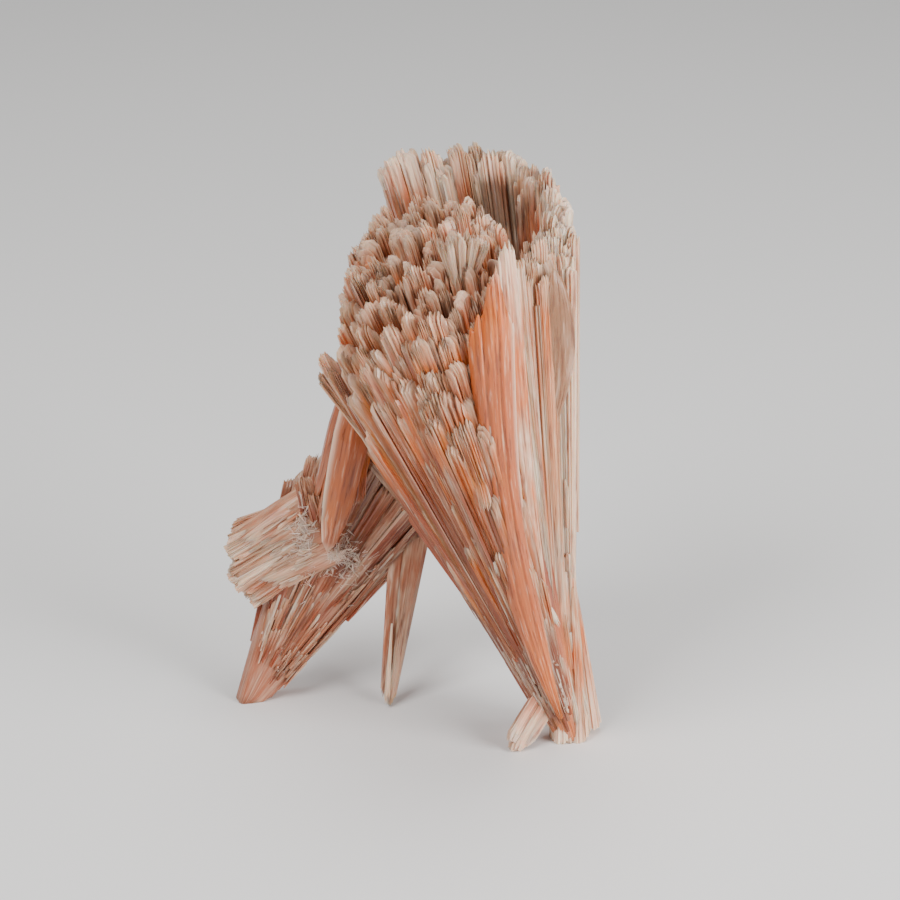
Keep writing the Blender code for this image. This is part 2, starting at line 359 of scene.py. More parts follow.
class Spray:
    """A bundle of crystals that spread from a small root to a crown.

    The crown is rows of points: a row runs from the left to the right of the spray, and the rows run from
    its front to its back.
    """

    def __init__(self, root, root_half, crown):
        self.root = Vector(root)
        self.root_half = root_half
        self.crown = [[Vector(point) for point in row] for row in crown]
        axis = (self.crown_point(0.5, 0.5) - self.root).normalized()
        span = self.crown_point(1.0, 0.5) - self.crown_point(0.0, 0.5)
        self.side = (span - axis * span.dot(axis)).normalized()
        depth = self.crown_point(0.5, 1.0) - self.crown_point(0.5, 0.0)
        depth -= axis * depth.dot(axis)
        self.back = (depth - self.side * depth.dot(self.side)).normalized()

    def crown_point(self, s, t):
        return between([between(row, s) for row in self.crown], t)

    def root_point(self, s, t):
        half_wide, half_deep = self.root_half
        return self.root + self.side * (2 * s - 1) * half_wide + self.back * (2 * t - 1) * half_deep

    def point(self, s, t, k):
        """The point at s across the spray, t through it and k of the way from the root to the crown."""
        return self.root_point(s, t).lerp(self.crown_point(s, t), k)

    def along_row(self, s, t):
        """The direction in which the crown runs across the spray at a place."""
        step = 0.12
        run = self.crown_point(min(s + step, 1.0), t) - self.crown_point(max(s - step, 0.0), t)
        return run.normalized()


SPRAYS = {
    "front": Spray(
        root=(0.4, -0.1, -0.6), root_half=(1.0, 1.1),
        crown=[
            [(-19.2, -1.4, 33.6), (-15.8, -4.8, 34.6), (-12.4, -7.6, 34.4), (-9.4, -8.8, 34.2),
             (-6.2, -7.4, 34.6)],
            [(-20.1, -3.0, 36.8), (-17.6, -6.2, 40.4), (-13.8, -7.3, 43.2), (-9.8, -7.0, 45.4),
             (-5.7, -5.0, 44.5)],
            [(-19.9, -0.4, 40.4), (-18.2, -1.8, 45.8), (-14.0, 0.0, 48.8), (-9.3, 1.2, 49.0),
             (-5.4, 0.0, 46.0)],
            [(-19.4, 4.0, 43.0), (-16.8, 6.2, 47.0), (-14.0, 8.0, 47.8), (-9.5, 7.2, 48.2),
             (-5.0, 3.5, 46.0)],
        ],
    ),
    "back": Spray(
        root=(-0.1, 1.6, 0.6), root_half=(1.0, 0.9),
        crown=[
            [(-16.6, 9.0, 49.3), (-14.2, 10.7, 51.3), (-10.0, 12.0, 51.2), (-5.6, 12.0, 50.8),
             (-2.4, 8.2, 50.0), (-0.7, 4.8, 48.0), (-0.2, 1.8, 44.4)],
            [(-16.9, 11.8, 46.5), (-13.8, 14.0, 48.0), (-9.2, 15.3, 48.6), (-4.5, 14.7, 48.4),
             (-1.4, 10.6, 47.4), (-0.5, 6.8, 45.6), (-0.2, 3.2, 42.4)],
        ],
    ),
    "rear_wing": Spray(
        root=(-0.5, 1.5, 0.2), root_half=(0.9, 0.9),
        crown=[
            [(-17.2, 4.0, 27.5), (-18.8, 4.0, 33.5), (-18.8, 6.0, 39.5), (-17.0, 8.0, 44.0)],
            [(-17.4, 14.5, 21.0), (-18.6, 13.5, 26.5), (-18.6, 13.0, 33.5), (-16.4, 13.0, 41.5)],
        ],
    ),
    "right_edge": Spray(
        root=(0.3, 0.4, 0.4), root_half=(0.8, 0.7),
        crown=[
            [(-3.4, 2.4, 45.6), (-1.8, 1.4, 46.0), (-0.3, 0.8, 43.4)],
            [(-3.2, 4.8, 47.6), (-1.4, 4.2, 48.4), (-0.1, 3.0, 46.0)],
        ],
    ),
    "right_sheaf": Spray(
        root=(-0.4, 0.0, 2.0), root_half=(0.8, 0.6),
        crown=[
            [(-4.4, -2.6, 45.4), (-3.2, -3.0, 46.2), (-2.1, -2.4, 44.8)],
            [(-4.4, 1.0, 46.8), (-3.2, 1.0, 47.8), (-2.0, 1.0, 46.0)],
        ],
    ),
    "main_foot": Spray(
        root=(-0.5, 0.8, 16.0), root_half=(0.9, 0.9),
        crown=[
            [(-1.4, -1.3, -0.3), (0.3, -1.4, -0.3), (1.5, -0.5, -0.3)],
            [(-1.0, 1.6, -0.2), (1.0, 2.6, -0.2), (2.2, 2.4, 0.6)],
        ],
    ),
    "left_brace": Spray(
        root=(-28.1, 6.9, -0.6), root_half=(1.3, 1.1),
        crown=[
            [(-24.8, 8.0, 17.0), (-19.8, 9.5, 21.5), (-14.8, 9.5, 22.0), (-11.4, 9.5, 18.0),
             (-13.8, 9.6, 13.6), (-16.6, 9.8, 11.0)],
            [(-24.4, 11.5, 18.0), (-22.0, 13.4, 22.0), (-17.5, 14.0, 22.0), (-13.0, 13.8, 19.0),
             (-13.6, 13.4, 13.4), (-16.6, 13.0, 10.8)],
        ],
    ),
    "left_column": Spray(
        root=(-21.4, 9.4, 16.0), root_half=(4.0, 1.8),
        crown=[
            [(-27.8, 6.4, 9.0), (-29.7, 6.8, 11.6), (-29.9, 7.6, 14.8)],
            [(-27.4, 10.4, 8.4), (-29.0, 10.8, 11.2), (-29.6, 11.6, 15.0)],
        ],
    ),
}


# Making a piece.


class Line:
    """A crystal's line: its length, and the directions along it, across it and through it."""

    def __init__(self, start, tip, side):
        self.start = np.array(Vector(start))
        run = Vector(tip) - Vector(start)
        self.length = run.length
        along = run / self.length
        across = Vector(side) - along * Vector(side).dot(along)
        self.along = np.array(along)
        self.across = np.array(across.normalized())
        self.through = np.cross(self.along, self.across)

    def points(self, high, across, through):
        """The points at these heights along the line, and at these places across it and through it."""
        return (self.start + np.outer(high, self.along) + np.outer(across, self.across)
                + np.outer(through, self.through))


class Piece:
    """A piece in the making: one bmesh, with the stock shapes that are copied into it."""

    stock = {}

    def __init__(self, name):
        self.name = name
        self.shape = bmesh.new()
        self.rng = random.Random(f"{name} {settings().needles.seed}")
        if not Piece.stock:
            Piece.stock["needle"] = round_stock(NEEDLE_SIDES, len(NEEDLE_LEVELS) - 1)
            Piece.stock["shard"] = flat_stock(SHARD_COLUMNS, 1, len(SHARD_LEVELS) - 1, smooth=False)
            Piece.stock["blade"] = flat_stock(BLADE_COLUMNS, 1, BLADE_LEVELS)
            Piece.stock["prism"] = round_stock(PRISM_SIDES, PRISM_LEVELS)
            Piece.stock["large"] = flat_stock(*LARGE_MASS)
            Piece.stock["small"] = flat_stock(*SMALL_MASS)

    def add_plate(self, start, tip, side, wide, thick, spread=0.45, ragged=1.0, needle=1.0, crest=0.3,
                  begin=0.0, stray=0.22, grains=(0.0, 1.0), tone=None):
        """A flat bundle of loose needles from start to tip, ragged where they end.

        spread is its width at the start as a share of its width at the tip, and crest is how much shorter
        it is at its edges, as a share of its width. ragged and needle are shares of the usual raggedness
        and needle width. begin is how far apart its needles may start, and stray how far their tips may
        lean out of line, in millimetres.
        """
        needles = settings().needles
        rng = self.rng
        stock = Piece.stock["needle"]
        line = Line(start, tip, side)
        width = needle * needles.width / MM
        tone = rng.random() if tone is None else tone
        columns = max(2, round(wide / width))
        rows = max(1, round(thick / width))
        slant = rng.uniform(-PLATE_SLANT, PLATE_SLANT) * wide
        for i in range(columns):
            for j in range(rows):
                x = ((i + 0.5 + rng.uniform(-NEEDLE_SHAKE, NEEDLE_SHAKE)) / columns - 0.5) * wide
                y = ((j + 0.5 + rng.uniform(-NEEDLE_SHAKE, NEEDLE_SHAKE)) / rows - 0.5) * thick
                short = crest * wide * (2 * x / wide) ** 2 + slant * x / wide
                short += ragged * needles.ragged / MM * rng.random() ** 1.5
                own_length = line.length - max(short, 0.0)
                point = needles.point / MM * needle * rng.uniform(*POINT_SPREAD)
                first = begin * rng.random()
                heights = first + (own_length - first) * np.array(NEEDLE_LEVELS)
                heights[-2] = own_length - point
                strays = rng.uniform(-stray, stray), rng.uniform(-stray, stray)
                thinnest, thickest = NEEDLE_SPREAD
                size = min(max(rng.lognormvariate(0.0, NEEDLE_VARIETY), thinnest), thickest)
                widths = width * NEEDLE_OVERLAP * size * np.array(NEEDLE_WIDTHS) / 2
                widths[-1] *= rng.uniform(*END_SPREAD)
                chisel = rng.uniform(-NEEDLE_CHISEL, NEEDLE_CHISEL)
                turn = rng.uniform(-NEEDLE_TURN, NEEDLE_TURN)
                high = heights[stock.level]
                half = widths[stock.level]
                u = (stock.across * math.cos(turn) - stock.through * math.sin(turn)) * half
                v = (stock.across * math.sin(turn) + stock.through * math.cos(turn)) * half * NEEDLE_FLATNESS
                high = high + np.where(stock.level >= stock.last - 1, chisel * u, 0.0)
                share = high / line.length
                fan = spread + (1.0 - spread) * share
                points = line.points(high, (x + strays[0] * share) * fan + u,
                                     (y + strays[1] * share) * fan + v)
                stock.copy_into(self.shape, points, reach=line.length - high, across=x + u, tone=tone,
                                grain=rng.uniform(*grains))

    def add_shard(self, start, tip, side, wide, thick, spread=0.5, tooth=0.75, crest=0.22, end=1.0, bend=0.35,
                  grooves=1.0, tone=None):
        """Needles grown together in a flat plate, with grooves along it and a jagged end.

        spread is its width at the start as a share of its width at the tip, and tooth how deep the notches
        in its end are. crest is how much shorter its edges are, as a share of its width, end how thick its
        points are left, and bend how far it may lean out of its plane, in millimetres. grooves is how deep
        its grooves are, as a share of the usual depth.
        """
        rng = self.rng
        stock = Piece.stock["shard"]
        line = Line(start, tip, side)
        places = range(SHARD_COLUMNS + 1)
        place = np.linspace(-1, 1, len(places))
        notch = np.array([rng.uniform(*LONG_NOTCH) if i % 2 else rng.uniform(*SHORT_NOTCH) ** 2
                          for i in places])
        notch *= rng.uniform(*NOTCH_SPREAD)
        groove = np.array([rng.uniform(*(GROOVE if i % 2 else CREST)) for i in places])
        grain = np.array([rng.random() for _ in places])
        slip = np.array([rng.uniform(-COLUMN_SLIP, COLUMN_SLIP) * wide / len(places) for _ in places])
        short = tooth * notch + crest * wide * place ** 2
        short = short + rng.uniform(-SHARD_SLANT, SHARD_SLANT) * wide * place
        top = line.length - np.maximum(short, 0.0)
        column = ((stock.across + 1) / 2 * SHARD_COLUMNS).round().astype(int)
        high = np.array(SHARD_LEVELS)[stock.level] * top[column]
        point = settings().needles.point / MM * rng.uniform(*SHARD_POINT_SPREAD)
        high = np.where(stock.level == stock.last - 1, top[column] - point, high)
        share = high / line.length
        lens = np.sqrt(np.clip(1.0 - place ** 4, SHARD_EDGE, 1.0))
        thickness = np.array(SHARD_THICKNESSES)[stock.level]
        thickness = np.where(stock.level == stock.last, thickness * end, thickness)
        x = (place * wide / 2 + slip)[column] * (spread + (1.0 - spread) * share)
        groove = 1.0 + (groove[column] - 1.0) * grooves * (ROOT_GROOVES + (1.0 - ROOT_GROOVES) * share)
        y = stock.through * thick / 2 * thickness * groove * lens[column]
        y = y + rng.uniform(-bend, bend) * share ** 2
        stock.copy_into(self.shape, line.points(high, x, y), reach=line.length - high,
                        across=x + FACE_SHIFT * stock.through, tone=rng.random() if tone is None else tone,
                        grain=grain[column])

    def add_fan(self, spray, across, layers, wide, thick, step=0.08, starts=(0.2, 0.6), lean=1.0, margin=0.05,
                depth=(0.0, 1.0), **shard):
        """The shards of a spray, on a shaken grid over its crown, which is margin short of its two sides.

        step is the largest share of its length that a shard may fall short by, starts where along the spray
        the shards may start, and depth the part of the crown, from its front to its back, that the grid
        lies on.
        """
        rng = self.rng
        turn = settings().needles.lean * lean
        front, back = depth
        for i in range(across):
            for j in range(layers):
                s = margin + (1 - 2 * margin) * (i + 0.5 + rng.uniform(-FAN_SHAKE, FAN_SHAKE)) / across
                t = front + (back - front) * (j + 0.5 + rng.uniform(-FAN_SHAKE, FAN_SHAKE)) / layers
                k = rng.uniform(*starts)
                start = spray.point(0.5 + (s - 0.5) * SINK, 0.5 + (t - 0.5) * SINK, k)
                tip = spray.point(s, t, 1.0 - rng.uniform(0.0, step))
                axis = (tip - start).normalized()
                side = Matrix.Rotation(turn * rng.uniform(*LEAN_SPREAD), 3, axis) @ spray.along_row(s, t)
                self.add_shard(start, tip, side, wide * rng.uniform(*WIDTH_SPREAD),
                               thick * rng.uniform(*THICKNESS_SPREAD),
                               spread=FAN_ROOT_WIDTH + (1.0 - FAN_ROOT_WIDTH) * k, **shard)

    def add_flakes(self, spray, count, s_range, k_range, long, wide, out=0.14, grains=(0.0, 1.0)):
        """Thin broken layers that lie on the front of a spray, ragged at both ends.

        s_range and k_range are where they may start across the spray and along it, and out is how far they
        lie off it, in millimetres.
        """
        rng = self.rng
        for _ in range(count):
            s, k = rng.uniform(*s_range), rng.uniform(*k_range)
            length = rng.uniform(*long)
            low = spray.point(s, FLAKE_PLACE, k)
            axis = (spray.crown_point(s, FLAKE_PLACE) - low).normalized()
            side = spray.along_row(s, FLAKE_PLACE)
            outward = side.cross(axis).normalized() * out * rng.uniform(*FLAKE_LIFT)
            self.add_plate(low + outward, low + outward * FLAKE_END_LIFT + axis * length, side,
                           rng.uniform(*wide), FLAKE_THICKNESS, spread=0.8, ragged=2.5, needle=FLAKE_NEEDLE,
                           crest=0.6, begin=length * FLAKE_BEGIN, stray=0.03, grains=grains)

    def add_frost(self, centre, spans, count):
        """Tiny loose needles that lie across each other."""
        rng = self.rng
        for _ in range(count):
            place = Vector(centre) + Vector([rng.gauss(0, 0.5) * span for span in spans])
            turn = rng.uniform(0, math.pi)
            along = Vector((math.cos(turn), rng.uniform(*FROST_TILT), math.sin(turn)))
            half = along.normalized() * rng.uniform(*FROST_LENGTHS) / 2
            self.add_plate(place - half, place + half, along.cross(FROST_FACE), FROST_WIDTH, FROST_WIDTH,
                           spread=1.0, needle=FROST_WIDTH / (settings().needles.width / MM), crest=0.0,
                           ragged=0.0)

    def add_mass(self, spray, reach=0.86, inset=0.04, ridge=0.16, swell=0.45, girth=8.0, stock="small"):
        """The grown-together body of a spray: a rounded block with fine ridges and broad swells along it.

        reach is how far along the spray it goes, inset how far inside it lies, ridge and swell how high its
        ridges and swells are, in millimetres, and girth sets how many go round it.
        """
        stock = Piece.stock[stock]
        seed = self.rng.uniform(0.0, 50.0)
        points, across = [], []
        for x, y, level in zip(stock.across, stock.through, stock.level):
            edge = max(abs(x), abs(y))
            bow = (abs(x) ** MASS_ROUNDNESS + abs(y) ** MASS_ROUNDNESS) ** (1 / MASS_ROUNDNESS)
            half = (0.5 - inset) * (edge / bow if bow else 1.0)
            k = level / stock.last
            around = Vector((x, y)).normalized() * girth
            lift = 0.0
            for height, fineness, drift in ((ridge, *RIDGE_SCALE), (swell, *SWELL_SCALE)):
                place = (around.x * fineness, around.y * fineness, seed + k * drift)
                lift += height * noise.noise(place)
            lift = lift * (MASS_ROOT + (1.0 - MASS_ROOT) * k) * edge ** 6
            outward = (spray.side * x + spray.back * y).normalized()
            points.append(spray.point(0.5 + half * x, 0.5 + half * y, reach * k) + outward * lift)
            across.append(math.atan2(y, x) * girth)
        length = (spray.crown_point(0.5, 0.5) - spray.root).length
        share = stock.level / stock.last * reach
        stock.copy_into(self.shape, np.array(points), reach=(1.0 - share) * length + 1.0,
                        across=np.array(across), tone=0.5, grain=0.5)

    def add_blade(self, start, tip, side, widths, thicks, crest, ridge=0.06, bow=0.0, curve=0.0, tone=0.5,
                  stock="blade"):
        """A single smooth crystal.

        widths and thicks run from its start to its tip, and crest gives its height at even places from its
        left edge to its right one, as shares of its length. ridge is how much its columns differ. bow and
        curve are how far its middle bulges through it and across it, in millimetres.
        """
        rng = self.rng
        line = Line(start, tip, side)
        flat = stock == "blade"
        stock = Piece.stock[stock]
        places = [(round(x, 3), round(y, 3)) for x, y in zip(stock.across, stock.through)]
        columns = {place: 1.0 + rng.uniform(-ridge, ridge) for place in set(places)}
        rib = np.array([columns[place] for place in places])
        top = np.interp(stock.across, np.linspace(-1, 1, len(crest)), crest) + (rib - 1.0) * RIB_RAGGED
        share = stock.level / stock.last * top
        wide = np.interp(share, np.linspace(0, 1, len(widths)), widths)
        thick = np.interp(share, np.linspace(0, 1, len(thicks)), thicks) * rib
        ends = np.where(stock.level == stock.last, BLADE_END, 1.0)
        round_edges = np.clip(1.0 - abs(stock.across) ** BLADE_ROUNDNESS, BLADE_EDGE ** 2, 1.0)
        lens = np.sqrt(round_edges) if flat else 1.0
        middle = 4 * share * (1 - share)
        points = line.points(share * line.length, stock.across * wide / 2 + curve * middle,
                             stock.through * lens * ends * thick / 2 + bow * middle)
        stock.copy_into(self.shape, points, reach=(1 - share) * line.length,
                        across=stock.across * max(widths) / 2 + FACE_SHIFT * stock.through, tone=tone,
                        grain=0.5)

    def finish(self, material):
        """Puts the piece in the frame's place, above the floor, and makes it ride the specimen."""
        for vert in self.shape.verts:
            vert.co.z = max(vert.co.z, 0.0)
        bmesh.ops.scale(self.shape, vec=(MM, MM, MM), verts=self.shape.verts)
        bmesh.ops.translate(self.shape, vec=FOOT, verts=self.shape.verts)
        mesh = bpy.data.meshes.new(self.name)
        self.shape.to_mesh(mesh)
        self.shape.free()
        piece = bpy.data.objects.new(self.name, mesh)
        bpy.context.scene.collection.objects.link(piece)
        mesh.materials.append(material)
        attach(piece, BODY)
        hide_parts(NODE)


# Materials.


class Graph:
    """Adds nodes to a node tree and links them."""

    def __init__(self, tree):
        self.tree = tree

    def node(self, kind, inputs=None, **fields):
        """A new node. A socket among its inputs is linked, and any other value is set."""
        node = self.tree.nodes.new(kind)
        for name, value in fields.items():
            setattr(node, name, value)
        for name, value in (inputs or {}).items():
            if isinstance(value, bpy.types.NodeSocket):
                self.tree.links.new(value, node.inputs[name])
            else:
                node.inputs[name].default_value = value
        return node

    def value(self, name):
        """One of the values that every point of a piece carries."""
        return self.node("ShaderNodeAttribute", attribute_name=name).outputs["Fac"]

    def math(self, operation, a, b=0.0):
        return self.node("ShaderNodeMath", {0: a, 1: b}, operation=operation).outputs[0]

    def ramp(self, value, low, high, start=0.0, end=1.0):
        """The value taken smoothly from start to end as it goes from low to high."""
        node = self.node("ShaderNodeMapRange", {"Value": value, "From Min": low, "From Max": high,
                                                "To Min": start, "To Max": end},
                         interpolation_type="SMOOTHSTEP")
        return node.outputs[0]

    def mix(self, share, first, second, blend="MIX"):
        node = self.node("ShaderNodeMix", {0: share, 6: first, 7: second}, data_type="RGBA", blend_type=blend)
        return node.outputs[2]

    def noise(self, vector, scale, detail, roughness):
        node = self.node("ShaderNodeTexNoise", {"Vector": vector, "Scale": scale, "Detail": detail,
                                                "Roughness": roughness})
        return node.outputs["Fac"]

    def group(self, tree, inputs):
        return self.node("ShaderNodeGroup", inputs, node_tree=tree).outputs


def new_group(name, inputs, outputs):
    """An empty node group with named sockets, its graph and the two ends."""
    tree = bpy.data.node_groups.new(name, "ShaderNodeTree")
    for socket, kind in inputs.items():
        tree.interface.new_socket(name=socket, in_out="INPUT", socket_type=f"NodeSocket{kind}")
    for socket, kind in outputs.items():
        tree.interface.new_socket(name=socket, in_out="OUTPUT", socket_type=f"NodeSocket{kind}")
    graph = Graph(tree)
    return tree, graph, graph.node("NodeGroupInput").outputs, graph.node("NodeGroupOutput").inputs


def fibre_group():
    """Fine streaks that run along the crystals, with broader streaks and bands of cloud."""
    tree, graph, given, made = new_group(
        "fibre_streaks", {"Reach": "Float", "Across": "Float", "Tone": "Float", "Fineness": "Float"},
        {"Fine": "Float", "Broad": "Float", "Band": "Float"})
    apart = graph.math("MULTIPLY", given["Tone"], BLADES_APART)
    wide = graph.math("MULTIPLY", given["Across"], given["Fineness"])
    long = graph.math("MULTIPLY", given["Reach"], STREAK_STRETCH)
    place = graph.node("ShaderNodeCombineXYZ", {0: wide, 1: long, 2: apart}).outputs[0]
    graph.tree.links.new(graph.noise(place, 1.0, 3.0, 0.6), made["Fine"])
    graph.tree.links.new(graph.noise(place, BROAD_STREAKS, 2.0, 0.5), made["Broad"])
    wide = graph.math("MULTIPLY", given["Across"], BAND_FINENESS)
    long = graph.math("MULTIPLY", given["Reach"], BAND_STRETCH)
    place = graph.node("ShaderNodeCombineXYZ", {0: wide, 1: long, 2: apart}).outputs[0]
    graph.tree.links.new(graph.noise(place, 1.0, 3.0, 0.6), made["Band"])
    return tree


def tint_group():
    """The colour of a crystal from its place along its blade, its blade and its needle, with painted
    highlights at its tips and painted shade low between the shingles, painted light where that colour is
    pale.
    """
    numbers = ("Reach", "Tone", "Grain", "Streak", "Broad", "Band", "Tip Length", "Tip Share", "Deep Share")
    colours = ("Warm", "Cool", "Tip", "Pale", "Dark", "Deep")
    tree, graph, given, made = new_group(
        "crystal_tint", {**dict.fromkeys(numbers, "Float"), **dict.fromkeys(colours, "Color")},
        {"Colour": "Color"})
    drift = graph.math("MULTIPLY", graph.math("SUBTRACT", given["Band"], 0.5), BAND_DRIFT)
    blend = graph.ramp(graph.math("ADD", given["Tone"], drift), *WARM_TO_COOL)
    body = graph.mix(blend, given["Warm"], given["Cool"])
    # Painted shade low between the shingles, painted light where the deep colour is pale.
    shade_and_light = graph.math("MULTIPLY", graph.ramp(given["Reach"], *SHADE_AND_LIGHT_BELOW_TIPS),
                       graph.ramp(given["Reach"], *SHADE_AND_LIGHT_ABOVE_ROOTS))
    shade_and_light = graph.math("MULTIPLY", shade_and_light, given["Deep Share"])
    body = graph.mix(shade_and_light, body, given["Deep"])
    clouds = graph.math("MULTIPLY", graph.math("SUBTRACT", CLOUD_REACH, shade_and_light), CLOUD_STRENGTH)
    faded = graph.math("MULTIPLY", graph.ramp(given["Band"], *FADED_BANDS), clouds)
    body = graph.mix(faded, body, given["Tip"])
    near = graph.math("DIVIDE", given["Reach"], given["Tip Length"])
    ragged = graph.math("MULTIPLY", graph.math("SUBTRACT", given["Broad"], 0.5), TIP_RAGGED)
    near = graph.ramp(graph.math("ADD", near, ragged), *TIP_FADE, 1.0, 0.0)
    body = graph.mix(graph.math("MULTIPLY", near, given["Tip Share"]), body, given["Tip"])
    dark = graph.math("MULTIPLY", graph.ramp(given["Streak"], *DARK_STREAKS), DARK_STRENGTH)
    body = graph.mix(dark, body, given["Dark"])
    pale = graph.math("MULTIPLY", graph.ramp(given["Streak"], *PALE_STREAKS), clouds)
    body = graph.mix(pale, body, given["Pale"])
    # Painted highlight: the very tips turn cream.
    edge = graph.math("MULTIPLY", graph.ramp(given["Reach"], *TIP_HIGHLIGHTS, 1.0, 0.0), given["Tip Share"])
    body = graph.mix(graph.math("MULTIPLY", edge, TIP_HIGHLIGHT_STRENGTH), body, given["Pale"])
    blade = graph.math("FRACT", graph.math("MULTIPLY", given["Tone"], TONE_SHUFFLE))
    bright = graph.math("MULTIPLY", graph.ramp(given["Grain"], 0.0, 1.0, *NEEDLE_BRIGHTNESS),
                        graph.ramp(blade, 0.0, 1.0, *BLADE_BRIGHTNESS))
    grey = graph.node("ShaderNodeCombineColor", {0: bright, 1: bright, 2: bright}).outputs[0]
    body = graph.mix(1.0, body, grey, "MULTIPLY")
    # Painted glints, partly whitish needles: a few needles at random turn cream.
    splinter = graph.math("MULTIPLY", graph.ramp(given["Grain"], *PALE_NEEDLES_AND_GLINTS), PALE_NEEDLE_AND_GLINT_STRENGTH)
    body = graph.mix(splinter, body, given["Pale"])
    graph.tree.links.new(body, made["Colour"])
    return tree


def stain_group():
    """Where the black stain lies: round a place, and down between the needles."""
    tree, graph, given, made = new_group(
        "stain_mask", {"Position": "Vector", "Centre": "Vector", "Radius": "Float", "Streak": "Float",
                       "Reach": "Float"}, {"Mask": "Float"})
    away = graph.node("ShaderNodeVectorMath", {0: given["Position"], 1: given["Centre"]},
                      operation="DISTANCE")
    share = graph.math("DIVIDE", away.outputs["Value"], given["Radius"])
    for mask, strength in ((graph.noise(given["Position"], STAIN_GRAIN, 4.0, 0.65), STAIN_RAGGED),
                           (given["Streak"], STAIN_STREAKED)):
        uneven = graph.math("MULTIPLY", graph.math("SUBTRACT", mask, 0.5), strength)
        share = graph.math("ADD", share, uneven)
    near = graph.ramp(share, *STAIN_FADE, 1.0, 0.0)
    deep = graph.ramp(given["Reach"], *STAIN_DEPTH, STAIN_AT_TIPS, 1.0)
    deep = graph.math("MULTIPLY", deep, STAIN_STRENGTH)
    graph.tree.links.new(graph.math("MULTIPLY", near, deep), made["Mask"])
    return tree


def group_tree(name, make):
    """A node group by name, made the first time."""
    return bpy.data.node_groups.get(name) or make()


def colour(name):
    return (*getattr(settings().colours, name), 1.0)


def crystal_material(name, warm="orange", cool="pink", tip="tip", dark="maroon", deep="rust", shade_and_light_share=0.0,
                     tip_length=3.0, tip_share=0.85, fineness=4.5, roughness=(0.26, 0.48), soft=0.4,
                     stain=None, clear=0.0, lit_side=None):
    """Silky crystal: streaked along its fibres, clouded in patches, paler or greyer at its tips, with a
    painted highlight on the very tips.

    warm to deep name colours of the settings. shade_and_light_share is how far the deep colour takes over
    between tip and root: with rust it is partly the redder crystal and partly painted shade between the
    shingles, and with a pale colour it is painted light. fineness is how many streaks a millimetre takes,
    soft and clear how much light scatters in it and goes through it. stain is a stain's place and radius,
    and lit_side two places across the blade between which it turns pale, painted light on the side that the
    light falls on, in millimetres.
    """
    material = bpy.data.materials.get(name)
    if material:
        return material
    material = bpy.data.materials.new(name)
    material.use_nodes = True
    graph = Graph(material.node_tree)
    shader = material.node_tree.nodes["Principled BSDF"]
    reach, across, tone, grain = (graph.value(value) for value in VALUES)
    streaks = graph.group(group_tree("fibre_streaks", fibre_group),
                          {"Reach": reach, "Across": across, "Tone": tone, "Fineness": fineness})
    base = graph.group(group_tree("crystal_tint", tint_group), {
        "Reach": reach, "Tone": tone, "Grain": grain, "Streak": streaks["Fine"], "Broad": streaks["Broad"],
        "Band": streaks["Band"], "Warm": colour(warm), "Cool": colour(cool), "Tip": colour(tip),
        "Pale": colour("cream"), "Dark": colour(dark), "Deep": colour(deep), "Deep Share": shade_and_light_share,
        "Tip Length": tip_length, "Tip Share": tip_share})["Colour"]
    # Painted light: one side of the blade, the side that the light falls on, turns cream.
    if lit_side:
        base = graph.mix(graph.ramp(across, *lit_side), base, colour("cream"))
    if stain:
        centre, radius = stain
        position = graph.node("ShaderNodeTexCoord").outputs["Object"]
        mask = graph.group(group_tree("stain_mask", stain_group), {
            "Position": position, "Centre": FOOT + Vector(centre) * MM, "Radius": radius * MM,
            "Streak": streaks["Fine"], "Reach": reach})["Mask"]
        base = graph.mix(mask, base, colour("stain"))
    bump = graph.node("ShaderNodeBump", {"Strength": BUMP_STRENGTH, "Distance": BUMP_HEIGHT,
                                         "Height": streaks["Fine"]})
    graph.tree.links.new(base, shader.inputs["Base Color"])
    graph.tree.links.new(graph.ramp(streaks["Fine"], *GLOSS_STREAKS, *roughness), shader.inputs["Roughness"])
    graph.tree.links.new(bump.outputs[0], shader.inputs["Normal"])
    for socket, value in (("IOR", CRYSTAL_IOR), ("Subsurface Weight", soft),
                          ("Subsurface Radius", SCATTER_COLOUR), ("Subsurface Scale", SCATTER_DEPTH),
                          ("Transmission Weight", clear), ("Coat Weight", COAT),
                          ("Coat Roughness", COAT_ROUGHNESS)):
        shader.inputs[socket].default_value = value
    return material


# Places of the single crystals and patches, in the layout's millimetres.

# The black stain: its middle and its radius, in the hollow and at some spots on the crown.
HOLLOW = ((-5.8, 9.6, 45.6), 3.3)
CROWN_SPOTS = ((-13.5, 2.0, 47.5), 2.4)

# The pale tongue that hangs low on the front spray.
TONGUE = {
    "start": (-9.9, -7.6, 37.4), "tip": (-7.2, -7.1, 25.3), "side": (1, 0.3, 0), "wide": 1.1, "thick": 0.5,
    "tooth": 1.2, "spread": 0.5,
}
ORANGE_RIB = {
    "start": (-0.7, -1.9, 3.0), "tip": (-6.95, -8.2, 46.9), "side": (1, 0.25, 0), "curve": -1.75, "bow": -0.2,
    "widths": (0.5, 1.9, 2.8, 2.7, 2.9, 3.5, 3.9, 3.7), "thicks": (0.8, 1.8, 2.4, 2.8, 2.2),
    "crest": (0.87, 0.90, 0.925, 0.93, 0.985, 1.0, 0.97, 0.92, 0.88), "tone": 0.1, "ridge": 0.16,
}
PALE_BLADE = {
    "start": (-0.4, -1.6, 4.0), "tip": (-5.6, -5.4, 48.2), "side": (1, 0.5, 0), "curve": -1.2, "bow": -0.3,
    "widths": (0.4, 1.0, 1.7, 2.3, 2.2), "thicks": (0.8, 1.2, 1.6, 1.2),
    "crest": (0.96, 0.99, 1.0, 0.985, 0.94), "tone": 0.5, "ridge": 0.16,
}
# Shards that cover the pale blade's right side.
PALE_SIDE_START = (-1.6, -2.0, 14.0)
PALE_SIDE_TIPS = ((-4.9, -4.4, 46.6), (-4.6, -3.4, 45.0), (-5.2, -4.8, 43.6))
